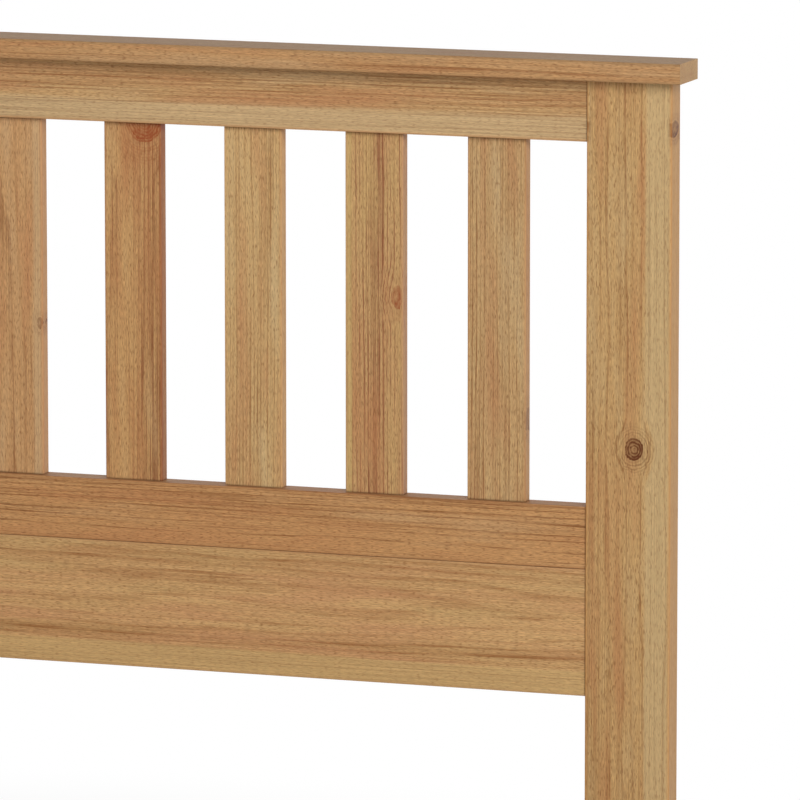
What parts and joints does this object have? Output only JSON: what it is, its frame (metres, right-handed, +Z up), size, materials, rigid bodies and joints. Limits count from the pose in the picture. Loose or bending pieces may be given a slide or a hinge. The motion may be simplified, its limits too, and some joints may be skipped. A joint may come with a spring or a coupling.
{
  "type": "panel bed",
  "caption": "Queen-size slatted panel bed in stained pine: headboard with upright slats and flat cap, low footboard, bolted side rails and a slatted deck.",
  "frame": {"origin": "on the floor under the middle of the bed, at the bottom centre of its bounding box", "axes": "+Z up, +Y towards the headboard, +X towards the right side as seen from the foot of the bed"},
  "size_m": [1.706, 2.143, 1.143],
  "materials": {
    "stained_pine": "brushed pine with visible knots, honey stain, satin clear coat",
    "bare_pine": "planed pine, uncoated",
    "bronzed_steel": "dark bronze plating",
    "zinc_plated_steel": "bright zinc plating on bent sheet",
    "black_steel": "black oxide",
    "nylon": "moulded, matt"
  },
  "bodies": {
    "root": {"headboard_post_left": "stained_pine", "headboard_post_right": "stained_pine", "headboard_cap": "stained_pine", "headboard_top_rail": "stained_pine", "headboard_slat_1": "stained_pine", "headboard_slat_2": "stained_pine", "headboard_slat_3": "stained_pine", "headboard_slat_4": "stained_pine", "headboard_slat_5": "stained_pine", "headboard_slat_6": "stained_pine", "headboard_slat_7": "stained_pine", "headboard_slat_8": "stained_pine", "headboard_slat_9": "stained_pine", "headboard_slat_10": "stained_pine", "headboard_slat_11": "stained_pine", "headboard_panel_upper_board": "stained_pine", "headboard_panel_lower_board": "stained_pine", "headboard_stretcher": "stained_pine", "footboard_post_left": "stained_pine", "footboard_post_right": "stained_pine", "footboard_cap": "stained_pine", "footboard_upper_board": "stained_pine", "footboard_lower_board": "stained_pine", "side_rail_left": "stained_pine", "side_rail_right": "stained_pine", "cleat_left": "bare_pine", "cleat_right": "bare_pine", "deck_slat_1": "bare_pine", "deck_slat_2": "bare_pine", "deck_slat_3": "bare_pine", "deck_slat_4": "bare_pine", "deck_slat_5": "bare_pine", "deck_slat_6": "bare_pine", "deck_slat_7": "bare_pine", "deck_slat_8": "bare_pine", "deck_slat_9": "bare_pine", "deck_slat_10": "bare_pine", "deck_slat_11": "bare_pine", "deck_slat_12": "bare_pine", "deck_slat_13": "bare_pine", "centre_beam": "bare_pine", "centre_leg_1": "bare_pine", "centre_leg_2": "bare_pine", "beam_hanger_head": "zinc_plated_steel", "beam_hanger_foot": "zinc_plated_steel", "bed_bolt_head_left": "bronzed_steel", "bed_bolt_head_right": "bronzed_steel", "bed_bolt_foot_left": "bronzed_steel", "bed_bolt_foot_right": "bronzed_steel", "barrel_nut_head_left": "black_steel", "barrel_nut_head_right": "black_steel", "barrel_nut_foot_left": "black_steel", "barrel_nut_foot_right": "black_steel", "post_glide_head_left": "nylon", "post_glide_head_right": "nylon", "post_glide_foot_left": "nylon", "post_glide_foot_right": "nylon", "centre_leg_glide_1": "nylon", "centre_leg_glide_2": "nylon"}
  },
  "joints": []
}
